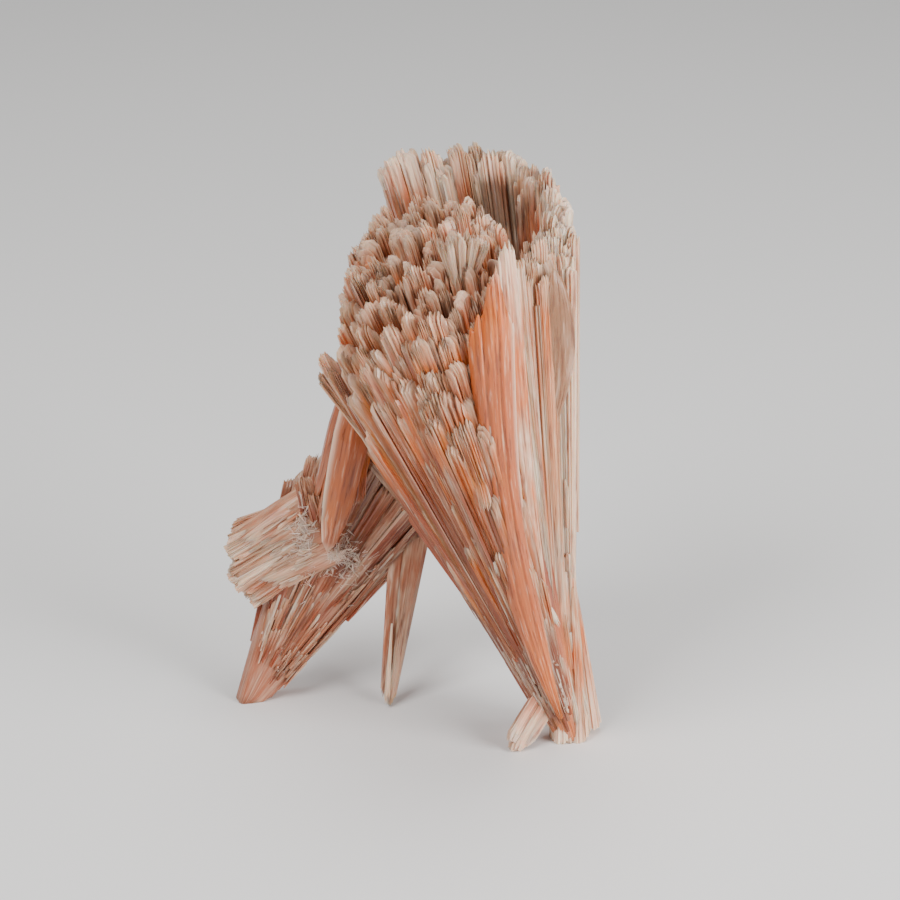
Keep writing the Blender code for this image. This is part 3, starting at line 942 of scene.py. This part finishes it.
# The lens beside the sheaf, and the grey blade under the front spray.
CLEAR_BLADES = (
    {"start": (-2.0, -0.9, 28.6), "tip": (-1.6, -2.4, 44.9), "side": (1, 0.2, 0), "curve": 0.5,
     "widths": (0.4, 1.3, 2.2, 2.8, 3.0, 2.7, 1.9, 0.7), "thicks": (0.5, 0.8, 0.7, 0.5),
     "crest": (0.97, 1.0, 0.985, 0.95), "tone": 0.2},
    {"start": (-1.0, 0.0, 8.0), "tip": (-9.6, 4.6, 21.5), "side": (1, 0.6, 0.3),
     "widths": (0.6, 1.6, 1.4, 0.6), "thicks": (0.5, 0.6, 0.4), "crest": (0.9, 1.0, 0.9), "tone": 0.9},
)
# The grey see-through strip between the left brace and the cone.
CLEAR_STRIP = {
    "start": (-10.2, 9.0, 14.4), "tip": (-16.6, 8.2, 24.0), "side": (1, 0.2, 0.6), "wide": 3.2, "thick": 0.8,
    "spread": 0.8, "needle": 0.9, "stray": 0.05, "tone": 0.1,
}
# Splinters that stand up behind the prisms: start, tip, width, thickness and depth of the notches.
BRACE_SPLINTERS = (
    ((-21.6, 8.8, 14.5), (-23.0, 7.4, 21.4), 1.5, 0.9, 1.2),
    ((-21.0, 8.6, 15.0), (-22.2, 7.2, 20.2), 1.3, 0.8, 1.0),
)
PRISMS = (
    {"start": (-17.6, 6.2, 31.0), "tip": (-20.9, 6.6, 14.8), "side": (1, 0, 0),
     "widths": (2.0, 3.4, 3.6, 3.4, 3.1, 2.6, 0.9), "thicks": (0.8, 2.4, 2.4, 1.4),
     "crest": (0.95, 1.0, 0.97), "tone": 0.15},
    {"start": (-16.6, 7.4, 29.0), "tip": (-18.9, 7.8, 18.6), "side": (1, 0.2, 0),
     "widths": (1.4, 1.8, 1.6, 0.7), "thicks": (1.4, 1.8, 1.6), "crest": (0.94, 1.0, 0.9), "tone": 0.4},
    {"start": (-19.0, 7.0, 30.0), "tip": (-21.9, 7.6, 18.8), "side": (1, 0.1, 0),
     "widths": (1.2, 1.6, 1.2, 0.7), "thicks": (1.2, 1.6, 1.2), "crest": (0.94, 1.0, 0.9), "tone": 0.7},
)
# Flat shards on the prisms: start and length, all pointing down.
PRISM_SHARDS = (((-19.6, 6.2, 24.0), 6.0), ((-18.6, 6.4, 25.5), 5.0), ((-20.6, 6.2, 22.0), 4.5),
                ((-17.6, 7.0, 24.5), 5.5))
PRISM_DOWN = Vector((-0.13, 0.0, -1.0))
# Long splinters from the main foot up over the sprays' roots: low end and high end.
FOOT_SPLINTERS = (
    ((1.1, 0.0, 2.0), (-0.4, 0.6, 16.0)),
    ((0.6, -0.7, 2.0), (-0.9, -0.3, 13.0)),
    ((1.5, 0.9, 2.5), (-0.1, 1.3, 14.0)),
)
# The middle leg: top, end, side and tone of each of its two blades.
LEG_BLADES = (
    ((-14.3, 10.4, 16.0), (-16.0, 5.7, 0.5), (1, 0, 0), 0.3),
    ((-12.9, 10.4, 16.0), (-15.6, 5.6, 0.0), (1, 0.3, 0), 0.7),
)
# The small foot: top, end and width of each shard.
SMALL_FOOT_SHARDS = (
    ((0.3, 0.6, 7.8), (-4.9, -2.6, -0.2), 1.5),
    ((-0.8, 0.0, 7.6), (-5.1, -2.9, 1.0), 0.8),
    ((0.4, 0.4, 6.2), (-3.9, -2.3, 0.3), 0.9),
)
# The splinter at the front spray's left edge: tip and width of each shard.
EDGE_SPLINTER_START = (-16.6, 1.2, 27.0)
EDGE_SPLINTER_TIPS = (((-20.9, 1.4, 35.8), 1.5), ((-20.3, 0.8, 34.6), 1.0), ((-21.3, 1.6, 33.8), 0.8))
# Cream slivers on the leg, the front spray's right side and the main foot, mostly painted highlights with a
# few pale blocks among them: start, end and width.
HIGHLIGHT_SLIVERS = (
    ((-15.3, 7.0, 7.4), (-15.8, 4.9, 0.5), 0.55),
    ((-2.1, -3.6, 15.2), (-0.9, -3.0, 12.2), 0.8),
    ((0.1, -0.4, 10.4), (1.6, -0.6, 1.8), 0.8),
    ((-0.4, -0.8, 8.6), (0.9, -1.2, 1.6), 0.6),
    ((-6.5, -5.3, 19.6), (-6.0, -5.0, 18.0), 0.6),
)
# The pale tuft on the crown opens from a narrow root to a wide top, in three rows one behind the other.
TUFT_COUNT = 11
TUFT_ROWS = 3
TUFT_ROOT = (-9.2, -2.2, 43.0)
TUFT_ROOT_HALF = 0.5
TUFT_ROOT_STEP = 0.3
TUFT_TOP = (-9.2, -3.2, 49.0)
TUFT_TOP_HALF = 2.0
TUFT_TOP_STEP = 0.5
TUFT_DOME = 0.9
# Patches of frosting: middle, spread each way and number of needles.
FROST_PATCHES = (
    ((-19.8, 8.1, 12.6), (1.9, 0.3, 2.4), 330),
    ((-22.9, 7.5, 15.0), (0.8, 0.3, 3.4), 200),
    ((-20.0, 6.9, 14.2), (0.9, 0.4, 0.5), 60),
)


# Operators.


class SPECIMEN_OT_front_spray(bpy.types.Operator):
    """Build the broad front spray and the rear wing behind its left edge."""

    bl_idname = "specimen.front_spray"
    bl_label = "Front Spray"

    def execute(self, context):
        spray, wing = SPRAYS["front"], SPRAYS["rear_wing"]
        # Painted shade: rust takes over low between the shingles of the front's needles, and all over its
        # body.
        needles = crystal_material("front_needles", shade_and_light_share=0.9, stain=CROWN_SPOTS)
        mass = Piece("front_mass")
        mass.add_mass(spray, stock="large")
        mass.add_mass(wing)
        mass.finish(crystal_material("front_body", shade_and_light_share=1.0, tip_share=0.0))
        crown = Piece("front_spray")
        crown.add_fan(spray, across=20, layers=14, wide=1.9, thick=1.35, step=0.09, margin=0.07, tooth=0.7,
                      crest=0.55, end=1.6)
        crown.add_fan(spray, across=20, layers=14, wide=1.0, thick=0.9, step=0.1, starts=(0.5, 0.8),
                      tooth=1.0, crest=0.7, end=1.6, bend=0.7)
        crown.add_fan(spray, across=17, layers=3, wide=1.3, thick=0.7, step=0.5, starts=(0.05, 0.3),
                      margin=0.03, depth=(-0.015, 0.05), tooth=1.0, crest=0.9, end=1.6, bend=0.2)
        crown.add_shard(**TONGUE)
        crown.finish(needles)
        rear = Piece("rear_wing")
        rear.add_fan(wing, across=10, layers=9, wide=2.2, thick=0.9, step=0.06)
        rear.finish(needles)
        flakes = Piece("front_flakes")
        flakes.add_flakes(spray, 260, (0.0, 0.95), (0.08, 0.78), (2.0, 10.0), (0.2, 0.8))
        # Pale flakes, whose needles all turn cream: partly whitish needles, partly painted glints.
        flakes.add_flakes(spray, 80, (0.1, 0.9), (0.1, 0.75), (0.8, 3.5), (0.15, 0.45), grains=(0.93, 1.0))
        flakes.finish(crystal_material("flake_crystal", warm="rust", cool="rust", tip_share=0.5,
                                       tip_length=3.5))
        return {"FINISHED"}


class SPECIMEN_OT_back_spray(bpy.types.Operator):
    """Build the tall back spray, stained black where it faces the hollow."""

    bl_idname = "specimen.back_spray"
    bl_label = "Back Spray"

    def execute(self, context):
        spray, side = SPRAYS["back"], SPRAYS["right_edge"]
        mass = Piece("back_mass")
        mass.add_mass(spray, stock="large", girth=9.0)
        mass.finish(crystal_material("back_body", cool="tip", tip_share=0.0, stain=HOLLOW))
        edge = Piece("right_edge")
        edge.add_mass(side, reach=0.93, girth=4.0)
        edge.add_fan(side, across=5, layers=4, wide=1.8, thick=1.0, step=0.05)
        edge.add_flakes(side, 14, (0.2, 0.8), (0.2, 0.8), (2.0, 8.0), (0.2, 0.6))
        # Painted light: the cream deep colour lightens the right edge low down, where the light from the
        # right falls.
        edge.finish(crystal_material("right_edge_crystal", warm="tip", cool="tip", tip="cream", tip_share=0.6,
                                     deep="cream", shade_and_light_share=0.6, soft=0.5))
        crown = Piece("back_spray")
        crown.add_fan(spray, across=24, layers=4, wide=1.9, thick=1.2, step=0.05, tooth=1.0, crest=0.6,
                      end=1.6)
        crown.add_fan(spray, across=26, layers=4, wide=1.0, thick=0.7, step=0.06, starts=(0.5, 0.8),
                      tooth=1.0, bend=0.6)
        crown.finish(crystal_material("back_needles", warm="pink", cool="tip", tip="cream", tip_share=0.7,
                                      tip_length=4.0, stain=HOLLOW, soft=0.5))
        return {"FINISHED"}


class SPECIMEN_OT_smooth_blades(bpy.types.Operator):
    """Build the orange rib, the sheaf at its right and the clear blades."""

    bl_idname = "specimen.smooth_blades"
    bl_label = "Smooth Blades"

    def execute(self, context):
        rib = Piece("orange_rib")
        rib.add_blade(**ORANGE_RIB)
        # Painted shade low on the rib, in rust, and painted light, in cream, along its right side.
        rib.finish(crystal_material("orange_blade", cool="orange", tip="pink", tip_share=0.5, soft=0.5,
                                    shade_and_light_share=0.5, roughness=(0.24, 0.42), fineness=3.0,
                                    lit_side=(1.0, 2.0)))
        pale = Piece("pale_blade")
        pale.add_blade(**PALE_BLADE)
        for tip in PALE_SIDE_TIPS:
            pale.add_shard(PALE_SIDE_START, tip, (1, 0.4, 0), 1.4, 0.8, spread=0.4)
        pale.finish(crystal_material("pale_blade", cool="tip", tip="cream", tip_share=0.6, soft=0.5,
                                     tip_length=8.0))
        sheaf = Piece("right_sheaf")
        sheaf.add_mass(SPRAYS["right_sheaf"], reach=0.9, girth=3.0, swell=0.3)
        sheaf.add_fan(SPRAYS["right_sheaf"], across=4, layers=4, wide=1.5, thick=0.8, step=0.05,
                      starts=(0.1, 0.4), lean=0.6, tooth=0.8)
        # Painted light: the grey-tan deep colour lightens the sheaf low down, on the lit right side.
        sheaf.finish(crystal_material("sheaf_needles", cool="tip", tip_length=4.0, deep="tip",
                                      shade_and_light_share=0.4))
        clear = Piece("clear_blades")
        for blade in CLEAR_BLADES:
            clear.add_blade(**blade)
        clear.add_plate(**CLEAR_STRIP)
        clear.finish(crystal_material("clear_blade", warm="clear", cool="tip", tip_share=0.3, soft=0.3,
                                      clear=0.3, fineness=3.5, roughness=(0.2, 0.4)))
        return {"FINISHED"}


class SPECIMEN_OT_left_group(bpy.types.Operator):
    """Build the left brace, the broken column behind it and the hanging prisms."""

    bl_idname = "specimen.left_group"
    bl_label = "Left Group"

    def execute(self, context):
        spray, stub = SPRAYS["left_brace"], SPRAYS["left_column"]
        mass = Piece("left_mass")
        mass.add_mass(spray, reach=0.88, girth=5.0)
        # Painted shade: rust low on the left body.
        mass.finish(crystal_material("left_body", warm="pink", cool="tip", shade_and_light_share=0.5, tip_share=0.0))
        brace = Piece("left_brace")
        brace.add_fan(spray, across=16, layers=5, wide=1.9, thick=0.8, step=0.07, starts=(0.15, 0.6),
                      grooves=0.7)
        brace.add_flakes(spray, 90, (0.05, 0.88), (0.1, 0.85), (2.0, 8.0), (0.2, 0.7))
        for start, tip, wide, thick, tooth in BRACE_SPLINTERS:
            brace.add_shard(start, tip, (1, 0, 0.2), wide, thick, tooth=tooth, spread=1.4)
        brace.finish(crystal_material("brace_needles", warm="rust", tip_share=0.5))
        column = Piece("left_column")
        column.add_mass(stub, reach=0.9, girth=4.0, swell=0.6, ridge=0.3, inset=0.02)
        column.add_fan(stub, across=7, layers=6, wide=1.7, thick=1.0, step=0.06, tooth=0.45, end=2.6,
                       bend=0.1, grooves=0.5)
        column.add_flakes(stub, 24, (0.05, 0.95), (0.0, 0.35), (1.5, 4.0), (0.2, 0.6), out=0.06)
        column.finish(crystal_material("column_needles", warm="tip", tip_share=0.6, tip_length=2.0,
                                       fineness=5.5))
        prisms = Piece("hanging_prisms")
        for prism in PRISMS:
            prisms.add_blade(**prism, stock="prism")
        for start, length in PRISM_SHARDS:
            prisms.add_shard(start, Vector(start) + PRISM_DOWN * length, (1, 0, 0), 1.4, 0.6, tooth=1.0)
        # Painted shade low on the prisms, in rust, and painted light, in cream, on their lit left facets.
        prisms.finish(crystal_material("prism_crystal", tip="pink", shade_and_light_share=0.4, soft=0.45, fineness=3.5,
                                       lit_side=(-0.7, -1.7)))
        return {"FINISHED"}


class SPECIMEN_OT_feet(bpy.types.Operator):
    """Build the ends that the specimen stands on, the edge splinter, the cream slivers of painted highlight
    and the tuft.
    """

    bl_idname = "specimen.feet"
    bl_label = "Feet"

    def execute(self, context):
        foot = Piece("main_foot")
        foot.add_mass(SPRAYS["main_foot"], reach=1.0, girth=3.0, inset=0.0, swell=0.6)
        foot.add_fan(SPRAYS["main_foot"], across=3, layers=3, wide=2.4, thick=1.6, step=0.02,
                     starts=(0.0, 0.4), lean=0.3, tooth=0.2, end=3.0, bend=0.1, grooves=0.4)
        for low, high in FOOT_SPLINTERS:
            foot.add_shard(low, high, (1, 0.3, 0), 1.1, 0.9, spread=1.3, tooth=1.8, crest=0.8, bend=0.1)
        foot.finish(crystal_material("foot_crystal", cool="tip", tip="cream", tip_share=0.7, tip_length=7.0))
        legs = Piece("legs")
        for top, end, side, tone in LEG_BLADES:
            legs.add_shard(top, end, side, 0.8, 1.1, tooth=0.9, spread=2.9, crest=0.9, end=1.6, bend=0.0,
                           grooves=0.35, tone=tone)
        for top, end, wide in SMALL_FOOT_SHARDS:
            legs.add_shard(top, end, (0.6, -0.3, 0.5), wide, 1.3, tooth=0.9, spread=0.9, crest=0.4, end=2.2,
                           bend=0.1, grooves=0.5)
        for tip, wide in EDGE_SPLINTER_TIPS:
            legs.add_shard(EDGE_SPLINTER_START, tip, (0.6, 0, 0.4), wide, 1.1, tooth=0.9, spread=0.6,
                           crest=0.6, end=2.0, bend=0.1)
        legs.finish(crystal_material("leg_crystal", warm="pink", cool="tip", tip="cream", tip_share=0.5,
                                     tip_length=5.0, fineness=3.5, soft=0.45))
        # Painted highlights: glossy cream slivers on the leg, the foot and the front spray's right side.
        bright = Piece("bright_slivers")
        for start, end, wide in HIGHLIGHT_SLIVERS:
            bright.add_shard(start, end, (1, 0.2, 0), wide, 0.4, spread=0.3, tooth=1.2, crest=0.8, bend=0.0)
        middle = TUFT_COUNT // 2
        for i in range(TUFT_COUNT):
            turn = (i - middle) / middle
            row = i % TUFT_ROWS
            x, y, z = TUFT_ROOT
            low = (x + TUFT_ROOT_HALF * turn, y - TUFT_ROOT_STEP * row, z)
            x, y, z = TUFT_TOP
            high = (x + TUFT_TOP_HALF * turn, y - TUFT_TOP_STEP * row,
                    z - TUFT_DOME * turn ** 2 - TUFT_TOP_STEP * (i % 2))
            bright.add_shard(low, high, (1, 0.2, 0), 0.75, 0.45, spread=0.4, tooth=1.0, crest=1.0, bend=0.2)
        bright.finish(crystal_material("bright_crystal", warm="cream", cool="cream", tip="cream", dark="tip",
                                       roughness=(0.15, 0.3), soft=0.5))
        return {"FINISHED"}


class SPECIMEN_OT_frosting(bpy.types.Operator):
    """Scatter the tiny white needles that lie across the left group."""

    bl_idname = "specimen.frosting"
    bl_label = "Frosting"

    def execute(self, context):
        frost = Piece("frosting")
        for patch in FROST_PATCHES:
            frost.add_frost(*patch)
        frost.finish(crystal_material("frost", warm="cream", cool="cream", tip="cream", dark="tip", soft=0.5))
        return {"FINISHED"}


class SPECIMEN_OT_stage(bpy.types.Operator):
    """Build the floor, the soft lights and the camera."""

    bl_idname = "specimen.stage"
    bl_label = "Stage"

    def execute(self, context):
        stage = settings().stage
        scene = context.scene
        shape = bmesh.new()
        bmesh.ops.create_circle(shape, cap_ends=True, segments=FLOOR_SIDES, radius=FLOOR_RADIUS)
        mesh = bpy.data.meshes.new("floor")
        shape.to_mesh(mesh)
        shape.free()
        floor = bpy.data.objects.new("floor", mesh)
        scene.collection.objects.link(floor)
        material = bpy.data.materials.new("floor")
        material.use_nodes = True
        shader = material.node_tree.nodes["Principled BSDF"]
        shader.inputs["Base Color"].default_value = (*stage.floor, 1.0)
        shader.inputs["Roughness"].default_value = FLOOR_ROUGHNESS
        mesh.materials.append(material)

        target = FOOT + Vector(TARGET) * MM
        for name, place, size in LIGHTS:
            lamp = bpy.data.lights.new(f"{name}_light", "AREA")
            lamp.size = size
            lamp.energy = getattr(stage, name)
            light = bpy.data.objects.new(f"{name}_light", lamp)
            light.location = Vector(place)
            light.rotation_euler = (target - Vector(place)).to_track_quat("-Z", "Y").to_euler()
            scene.collection.objects.link(light)
        world = bpy.data.worlds.new("studio")
        world.use_nodes = True
        world.node_tree.nodes["Background"].inputs["Color"].default_value = (1.0, 1.0, 1.0, 1.0)
        world.node_tree.nodes["Background"].inputs["Strength"].default_value = stage.ambient
        scene.world = world

        camera_data = bpy.data.cameras.new("camera")
        camera_data.lens = stage.lens
        camera_data.sensor_width = stage.picture * stage.lens / stage.distance
        camera_data.clip_start = CLIP_START
        camera = bpy.data.objects.new("camera", camera_data)
        backward = Vector((0, -math.cos(stage.elevation), math.sin(stage.elevation)))
        camera.location = target + backward * stage.distance
        camera.rotation_euler = (math.pi / 2 - stage.elevation, 0.0, 0.0)
        scene.collection.objects.link(camera)
        scene.camera = camera
        return {"FINISHED"}


class SPECIMEN_PT_panel(bpy.types.Panel):
    """The specimen's settings and its pieces."""

    bl_idname = "SPECIMEN_PT_panel"
    bl_label = "Inesite Specimen"
    bl_space_type = "VIEW_3D"
    bl_region_type = "UI"
    bl_category = "Specimen"

    def draw(self, context):
        for group in (settings().needles, settings().colours, settings().stage):
            box = self.layout.box()
            for name in group.__annotations__:
                box.prop(group, name)
        for operator in OPERATORS:
            self.layout.operator(operator.bl_idname)


OPERATORS = (SPECIMEN_OT_stage, SPECIMEN_OT_front_spray, SPECIMEN_OT_back_spray, SPECIMEN_OT_smooth_blades,
             SPECIMEN_OT_left_group, SPECIMEN_OT_feet, SPECIMEN_OT_frosting)
CLASSES = (NeedleSettings, ColourSettings, StageSettings, SpecimenSettings, *OPERATORS, SPECIMEN_PT_panel)


def register():
    for kind in CLASSES:
        bpy.utils.register_class(kind)
    bpy.types.Scene.specimen = PointerProperty(type=SpecimenSettings)


def unregister():
    del bpy.types.Scene.specimen
    for kind in reversed(CLASSES):
        bpy.utils.unregister_class(kind)


def main():
    register()
    bpy.ops.specimen.stage()
    bpy.ops.specimen.front_spray()
    bpy.ops.specimen.back_spray()
    bpy.ops.specimen.smooth_blades()
    bpy.ops.specimen.left_group()
    bpy.ops.specimen.feet()
    bpy.ops.specimen.frosting()


if __name__ == "__main__":
    main()
